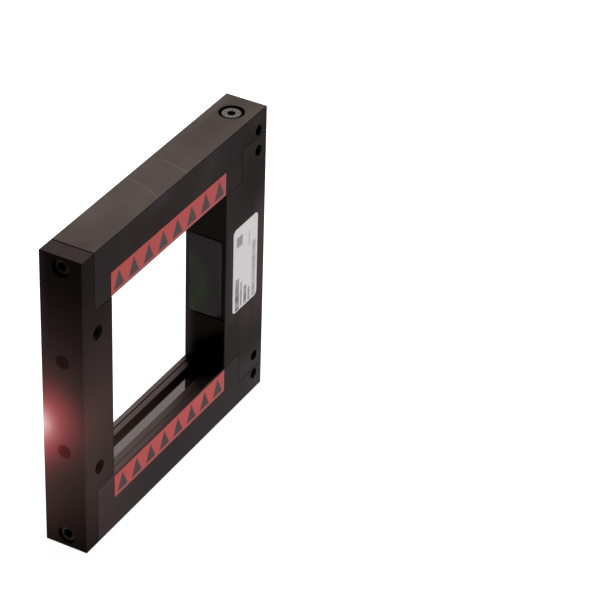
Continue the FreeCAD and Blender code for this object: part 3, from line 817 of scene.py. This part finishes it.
# Type label: white film with a few plain rules of uneven dashes
label = {
    "white": (0.80, 0.785, 0.805),
    "shade": (0.77, 0.755, 0.775),
    "ink": (0.10, 0.10, 0.105),
    # middle in x, width in x, low z, high z, pitch of the dashes and strength of each rule
    "rules": [
        (43.8, 2.9, 46.9, 61.3, 1.3, 1.00),
        (46.8, 1.4, 47.4, 58.4, 1.0, 0.70),
        (49.9, 2.1, 46.9, 55.2, 1.1, 0.82),
        (52.75, 1.5, 46.9, 53.2, 1.0, 0.75),
        (56.3, 2.6, 47.2, 73.2, 1.1, 0.56),
        (52.7, 1.0, 72.6, 79.0, 0.9, 0.40),
        (45.2, 4.4, 75.9, 80.5, 1.5, 0.62),
    ],
    "ruleSoft": (-0.05, 0.05), "dashSoft": (-0.05, 0.05),
    "dashHalf": 0.24, "dashChance": 0.28,  # half a dash, as a share of the pitch, and what chance adds
    "fibre": 2, "grain": 0.25, "grainBump": 0.04, "roughness": 0.42, "spread": 0.1,
}


# Ink of one rule: each dash is as long as a number drawn for it says
def ruleInk(place, middle, width, low, high, pitch, strength):
    x, _, z = place.split()
    inside = (width / 2 * mm) - abs(x - middle * mm)
    rule = inside.over(label["ruleSoft"]) * (z - low * mm).over(label["ruleSoft"])
    rule = rule * (high * mm - z).over(label["ruleSoft"])
    along = (z / (pitch * mm)).fraction()
    number = z / (pitch * mm) - along + middle
    chance = place.node("ShaderNodeTexWhiteNoise", {"noise_dimensions": "1D"}, {"W": number})
    past = abs(along - 0.5) - (label["dashHalf"] + label["dashChance"] * chance)
    return rule * (1 - past.step(*label["dashSoft"])) * strength


def labelPattern(place):
    fibre = place.noise(label["fibre"], 4.0)
    ink = reduce(Wire.most, [ruleInk(place, *rule) for rule in label["rules"]])
    return {
        "Base Color": ink.blend(fibre.blend(label["shade"], label["white"]), label["ink"]),
        "Roughness": label["roughness"] + label["spread"] * fibre,
        "Normal": place.noise(label["grain"]).bump(label["grainBump"]),
    }


dress(makeFinish("label film", matt, labelPattern), "type_label")
print("foils dressed")


# Plain finishes: two shades over a noise, with a roughness that follows it and a fine bump.
# Each has its shades, the noise's size in mm, roughness, bump, fixed values and the nodes it is for.
plainSpread = 0.3
plainLooks = {
    "seal rubber": (
        (0.012, 0.012, 0.012), (0.022, 0.022, 0.021), 0.4, 0.8, 0.2, {"Specular IOR Level": 0.2},
        ["window_seal", "connector_seal"],
    ),
    "black moulding": (
        (0.018, 0.018, 0.018), (0.028, 0.028, 0.028), 0.3, 0.55, 0.15, {"Specular IOR Level": 0.3},
        ["emitter_holder", "receiver_holder", "connector_insert"],
    ),
    "solder mask": (
        (0.014, 0.090, 0.036), (0.022, 0.130, 0.052), 1.2, 0.35, 0.1, {},
        ["emitter_board", "receiver_board", "main_board", "connector_board"],
    ),
    "chip moulding": (
        (0.016, 0.016, 0.017), (0.026, 0.026, 0.028), 0.2, 0.5, 0.2, {},
        ["controller_chip", "driver_chips"],
    ),
    "capacitor case": (
        (0.42, 0.26, 0.06), (0.50, 0.31, 0.08), 0.6, 0.45, 0.1, {},
        ["capacitors"],
    ),
    "clear package": (
        (0.55, 0.45, 0.42), (0.64, 0.54, 0.50), 0.8, 0.2, 0.05, {},
        ["emitter_leds", "receiver_diodes", "status_led"],
    ),
    "flat cable": (
        (0.22, 0.22, 0.23), (0.28, 0.28, 0.29), 0.5, 0.5, 0.1, {},
        ["emitter_ribbon", "receiver_ribbon", "status_cable"],
    ),
    "small screws": (
        (0.42, 0.41, 0.40), (0.55, 0.54, 0.52), 0.3, 0.35, 0.1, metal,
        ["emitter_board_screws", "receiver_board_screws"],
    ),
    "nickel plate": ((0.50, 0.48, 0.43), (0.62, 0.60, 0.54), 0.4, 0.28, 0.06, metal, []),
    "gold plate": ((0.75, 0.52, 0.18), (0.86, 0.62, 0.24), 0.3, 0.22, 0.04, metal, []),
}


def plainPattern(place, low, high, size, roughness, bump):
    cloud = place.noise(size, 3.0)
    return {
        "Base Color": cloud.step(*mottle).blend(low, high),
        "Roughness": roughness * (1 + plainSpread * (cloud - 0.5)),
        "Normal": cloud.bump(bump),
    }


plain = {}
for lookName, (*details, fixed, owners) in plainLooks.items():
    plain[lookName] = makeFinish(lookName, fixed, plainPattern, *details)
    dress(plain[lookName], *owners)

# Slot of the rails: its walls painted black as shade, with a little light of the emitters on them and on the
# glass, fading along the slot
slotLight = {"colour": (0.033, 0.0198, 0.0155), "end": 27, "length": 72, "power": 1.2, "onGlass": 0.85}
rail = {
    "wall": (0.0012, 0.0009, 0.0008),
    "slotMiddle": 0.3, "slotHalf": (3.72, 3.78), "wallHeight": (40.02, 40.08),
    "behind": (0.0362, 0.0288, 0.0308), "behindSide": (3.9, 4.1), "behindStart": (-24, -4),
    # darker behind the slot; along the near side painted shade towards the right bar, black in its shadow
    "nearSide": (-3.4, -3.2),
    "nearTones": [
        ((-2, 16), (0.0310, 0.0208, 0.0214)),
        ((17, 22), (0.0480, 0.0310, 0.0320)),
        ((21, 28.5), shade),
    ],
}
glass = {
    "low": (0.003, 0.002, 0.002), "high": (0.005, 0.004, 0.004), "size": 30,
    "roughness": 0.008, "spread": 0.008, "ior": 2.09, "tint": (1.0, 0.875, 0.875, 1),
}


# the share of the length still ahead, to a power
def slotGlow(place, share):
    ahead = ((slotLight["end"] * mm - place.split()[0]) / (slotLight["length"] * mm)).most(0.0)
    return tinted(place, slotLight["colour"], ahead.maths("POWER", ahead, slotLight["power"]) * share)


# The rails: the bottom bar's finish, darker behind the slot, with painted shade along the near side, the slot
# walls painted black as shade and the emitters' light on them
def railPattern(place):
    pattern = anodisedPattern(place, bottomBar)
    x, y, z = place.split()
    wall = y.near(rail["slotMiddle"], rail["slotHalf"]) * abs(z - middleZ).over(rail["wallHeight"])
    behind = y.over(rail["behindSide"]) * x.over(rail["behindStart"])
    colour = behind.blend(pattern["Base Color"], rail["behind"])
    colour = addTones(x, colour, rail["nearTones"], 1 - y.over(rail["nearSide"]))
    colour = farSeamShade(y).blend(colour, bottomBar["seamShade"])
    pattern["Base Color"] = wall.blend(colour, rail["wall"])
    pattern["Emission Color"] = slotGlow(place, wall)
    return pattern


def glassPattern(place):
    cloud = place.noise(glass["size"])
    return {
        "Base Color": cloud.blend(glass["low"], glass["high"]),
        "Roughness": glass["roughness"] + glass["spread"] * cloud,
        "Emission Color": slotGlow(place, slotLight["onGlass"]),
    }


glassFixed = {"IOR": glass["ior"], "Specular Tint": glass["tint"], **lit}
dress(makeFinish("anodised rails", litMatt, railPattern), "emitter_rail", "receiver_rail")
dress(makeFinish("dark glass", glassFixed, glassPattern), "emitter_window", "receiver_window")

# Smoked cover: polished plate with rounded edges, a green cast in two wide arcs where the board shows
# through, painted highlights along its front and top edges and upper rims, painted shade at its foot and
# lower rim, and a painted shadow at its back edge
cover = {
    "lowY": -7.4, "highY": 7.4, "lowZ": 47.35, "highZ": 82.95, "radius": 1.8,
    "front": 34.4, "back": 35.9, "edge": 0.45, "edgeRows": 6, "corner": 9,
    "smoke": (0.0200, 0.0150, 0.0235),
    "arcMiddle": (34.4, 16.6, 60.4),
    # radius, reach and tone of each arc
    "arcs": [(12.2, 2.0, (0.0250, 0.0520, 0.0340)), (15.3, 2.4, (0.0440, 0.0740, 0.0215))],
    # painted shade at the foot and on the lower rim
    "low": (0.0110, 0.0080, 0.0120), "lowHeight": (47.4, 50.5), "lowEnd": (2, 6),
    # painted highlight along the front and top edges
    "pale": (0.0800, 0.0700, 0.0760), "paleHeight": (48, 51),
    "frontReach": (0.7, 1.5), "topReach": (0.6, 1.2), "topShare": 0.6,
    # painted highlight on the upper rims
    "rim": (0.0900, 0.0810, 0.0830), "rimHeight": (48.2, 49.5), "rimNormal": (0.7, 0.99),
    "shadow": (0.008, 0.006, 0.007), "shadowSide": (6.82, 6.98), "shadowRoughness": 0.5,
    "cloud": 12, "roughness": 0.16, "spread": 0.06,
    "fixed": {"Specular IOR Level": 0.11, "Specular Tint": (1.0, 0.87, 0.97, 1)},
}


# the outline of a rounded rectangle, drawn in by an inset
def coverRing(inset, x):
    ring = []
    radius = cover["radius"]
    rightY, leftY = cover["highY"] - radius, cover["lowY"] + radius
    highZ, lowZ = cover["highZ"] - radius, cover["lowZ"] + radius
    for quarter, (y, z) in enumerate(((rightY, highZ), (leftY, highZ), (leftY, lowZ), (rightY, lowZ))):
        angle = turn / 4 * (quarter + np.linspace(0, 1, cover["corner"]))
        y = y + (radius - inset) * np.cos(angle)
        z = z + (radius - inset) * np.sin(angle)
        ring.append(np.stack([np.full_like(y, x), y, z], -1))
    return np.concatenate(ring)


# as many copies of the middle of a face as a ring has points
def coverPole(x):
    return np.tile((x, 0, (cover["lowZ"] + cover["highZ"]) / 2), (4 * cover["corner"], 1))


def coverPattern(place):
    _, y, z = place.split()
    cloud = place.noise(cover["cloud"])
    sheet = cover["smoke"]
    for radius, reach, tone in cover["arcs"]:
        off = (place.away(cover["arcMiddle"]) - radius * mm) / (reach * mm)
        sheet = off.bell().blend(sheet, tone)
    # painted shade at the foot
    low = (1 - z.over(cover["lowHeight"])) * (1 - y.over(cover["lowEnd"]))
    sheet = low.blend(sheet, cover["low"])
    # painted highlight along the front and top edges
    inFront = 1 - (y - cover["lowY"] * mm).over(cover["frontReach"])
    onTop = 1 - (cover["highZ"] * mm - z).over(cover["topReach"])
    pale = inFront.most(cover["topShare"] * onTop) * z.over(cover["paleHeight"])
    sheet = pale.blend(sheet, cover["pale"])
    # painted highlight on the upper rims, painted shade on the lower rim
    facing = abs(place.node("ShaderNodeNewGeometry", {}, {}, output="Normal").split()[0])
    rim = 1 - facing.step(*cover["rimNormal"])
    rimTone = z.over(cover["rimHeight"]).blend(cover["low"], cover["rim"])
    shadow = y.over(cover["shadowSide"])
    return {
        "Base Color": shadow.blend(rim.blend(sheet, rimTone), cover["shadow"]),
        "Roughness": cover["roughness"] + cover["spread"] * cloud + cover["shadowRoughness"] * shadow,
        "Metallic": shadow,
    }


coverRows = [coverPole(cover["back"]), coverRing(cover["radius"], cover["back"]), coverRing(0, cover["back"])]
for bend in np.linspace(0, turn / 4, cover["edgeRows"]):
    inset = cover["edge"] * (1 - np.cos(bend))
    coverRows.append(coverRing(inset, cover["front"] + cover["edge"] * (1 - np.sin(bend))))
coverRows += [coverRing(cover["radius"], cover["front"]), coverPole(cover["front"])]
coverFinish = makeFinish("smoked cover", cover["fixed"], coverPattern)
putPiece("smoked_cover", [np.stack(coverRows)], False, coverFinish, "cover_window")

# Status light: a lens that glows as strongly as the bar round it
lens = {
    "rim": (0.018, 0.015, 0.015), "middle": (0.026, 0.017, 0.017),
    "cloud": 0.4, "roughness": 0.25, "spread": 0.1,
    "fixed": {"Specular IOR Level": 0.1, **lit},
}


def lensPattern(place):
    cloud = place.noise(lens["cloud"])
    return {
        "Base Color": cloud.blend(lens["rim"], lens["middle"]),
        "Emission Color": glowLight(place, 1.0),
        "Roughness": lens["roughness"] + lens["spread"] * cloud,
    }


dress(makeFinish("lit lens", lens["fixed"], lensPattern), "status_lens")

# Plug: threaded sleeve with a chamfered hexagonal collar, and four pins with rounded tips
plug = {
    "place": (64.5, 0.0, 64.5), "axis": (1, 0, 0), "columns": 72, "start": -8.0, "bore": 3.3, "rim": 7.5,
    "crest": 4.0, "root": 3.5, "pitch": 1.0, "runIn": 0.4, "runOut": 0.5, "threadRows": 40,
    "collar": (0.5, 2.0),  # from and to
    "hex": 10.0, "chamfer": 0.3, "corner": 5.25,
    "pins": 4, "pinRing": 1.75, "pinRadius": 0.5, "pinStart": -8.8, "pinEnd": 6.5,
    "pinColumns": 24, "tipRows": 6,
}


def plugRows():
    hexagon = hexRadius(plug["hex"], plug["columns"], 0)
    bevelled = np.minimum(hexagon, plug["corner"])
    low, high = plug["collar"]
    along = np.linspace(high + plug["runIn"], plug["rim"] - plug["runOut"], plug["threadRows"])
    cut = plug["root"] + (plug["crest"] - plug["root"]) * threadWave(along, plug["pitch"], plug["columns"])
    rows = [(plug["bore"], plug["start"]), (plug["crest"], plug["start"]), (plug["crest"], low)]
    rows += [(bevelled, low), (hexagon, low + plug["chamfer"]), (hexagon, high - plug["chamfer"])]
    rows += [(bevelled, high), (plug["root"], high)]
    rows += list(zip(cut, along)) + [(plug["root"], plug["rim"]), (plug["bore"], plug["rim"])]
    return rows


def pinRows():
    radius = plug["pinRadius"]
    rows = [(0, plug["pinStart"]), (radius, plug["pinStart"])]
    for bend in np.linspace(0, turn / 4, plug["tipRows"]):
        rows.append((radius * np.cos(bend), plug["pinEnd"] - radius * (1 - np.sin(bend))))
    return rows


plugGrid = lathe(plugRows(), plug["columns"], plug["place"], plug["axis"])
putPiece("plug_sleeve", [plugGrid], True, plain["nickel plate"], "connector_shell")
pinGrids = []
for pin in range(plug["pins"]):
    angle = turn * (pin + 0.5) / plug["pins"]
    place = np.array(plug["place"]) + plug["pinRing"] * np.array((0, np.cos(angle), np.sin(angle)))
    pinGrids.append(lathe(pinRows(), plug["pinColumns"], place, plug["axis"]))
putPiece("plug_pins", pinGrids, False, plain["gold plate"], "connector_pins")
print("finishes:", len(bpy.data.materials))

# Camera at the photograph's viewpoint, in mm
viewpoint = {
    "place": (-756.4640, -468.9097, 675.8035),
    "right": (0.49099023, -0.87073077, 0.02750483),
    "up": (0.47646862, 0.29483644, 0.82828082),
    "back": (-0.72931903, -0.39357260, 0.55963771),
    "lens": 171.595,
    "sensor": 36.0,
}
cameraData = bpy.data.cameras.new("camera")
cameraData.lens = viewpoint["lens"]
cameraData.sensor_width = viewpoint["sensor"]
camera = bpy.data.objects.new("camera", cameraData)
axes = Matrix([viewpoint["right"], viewpoint["up"], viewpoint["back"]]).transposed()
camera.matrix_world = Matrix.Translation(Vector(viewpoint["place"]) * mm) @ axes.to_4x4()
bpy.context.scene.collection.objects.link(camera)
bpy.context.scene.camera = camera

# Soft boxes round the part: degrees from +X towards +Y, degrees up, width and height in metres;
# level is how bright a white surface square to the lamp shows
lamps = {
    "keyBox": {
        "round": 24, "up": 31, "wide": 1.94, "high": 1.06, "level": 5.1, "colour": (1.0, 0.972, 0.87),
    },
    "frontBox": {
        "round": -50, "up": 6, "wide": 1.59, "high": 0.62, "level": 0.8, "colour": (1.0, 0.985, 1.0),
    },
}
lampReach = 3.0
aim = Vector((0, 0, middleZ))
for lampName, lamp in lamps.items():
    lampData = bpy.data.lights.new(lampName, "AREA")
    lampData.shape = "RECTANGLE"
    lampData.size = lamp["wide"]
    lampData.size_y = lamp["high"]
    lampData.color = lamp["colour"]
    lampData.energy = lamp["level"] * (np.pi * lampReach) ** 2
    bearing, rise = np.radians((lamp["round"], lamp["up"]))
    away = lampReach * Vector((np.cos(rise) * np.cos(bearing), np.cos(rise) * np.sin(bearing), np.sin(rise)))
    lampObject = bpy.data.objects.new(lampName, lampData)
    facing = away.to_track_quat("Z", "Y").to_matrix().to_4x4()
    lampObject.matrix_world = Matrix.Translation(aim + away) @ facing
    lampObject.visible_glossy = False
    lampObject.visible_camera = False
    bpy.context.scene.collection.objects.link(lampObject)


# 1 for rays from the camera, off gloss and through glass
def seenRays(tree):
    path = tree.nodes.new("ShaderNodeLightPath")
    kinds = ("Is Camera Ray", "Is Glossy Ray", "Is Transmission Ray")
    return reduce(Wire.most, [Wire(tree, path.outputs[kind]) for kind in kinds])


# Room: white to the rays that see it, with a little ambient light, over a pale floor that takes the shadow
room = {"ambient": 0.002, "floorTone": 0.16, "floorLift": 0.985, "floorHalf": 4.0, "floorDrop": 0.05 * mm}
white = (1, 1, 1, 1)
world = bpy.data.worlds.new("room")
bpy.context.scene.world = world
world.use_nodes = True
background = world.node_tree.nodes["Background"]
background.inputs["Color"].default_value = white
strength = seenRays(world.node_tree) * (1 - room["ambient"]) + room["ambient"]
world.node_tree.links.new(strength.socket, background.inputs["Strength"])

floorMesh = bpy.data.meshes.new("floor")
half = room["floorHalf"]
corners = [(-half, -half, 0), (half, -half, 0), (half, half, 0), (-half, half, 0)]
floorMesh.from_pydata(corners, [], [(0, 1, 2, 3)])
floor = bpy.data.objects.new("floor", floorMesh)
floor.location.z = -room["floorDrop"]
bpy.context.scene.collection.objects.link(floor)
floorMaterial = bpy.data.materials.new("pale floor")
floorMaterial.use_nodes = True
floorTree = floorMaterial.node_tree
floorShader = floorTree.nodes["Principled BSDF"]
floorShader.inputs["Base Color"].default_value = (room["floorTone"],) * 3 + (1,)
floorShader.inputs["Specular IOR Level"].default_value = 0.0
floorShader.inputs["Roughness"].default_value = 1.0
floorShader.inputs["Emission Color"].default_value = white
floorTree.links.new((seenRays(floorTree) * room["floorLift"]).socket, floorShader.inputs["Emission Strength"])
floorMesh.materials.append(floorMaterial)

bpy.context.scene.view_settings.view_transform = "Standard"
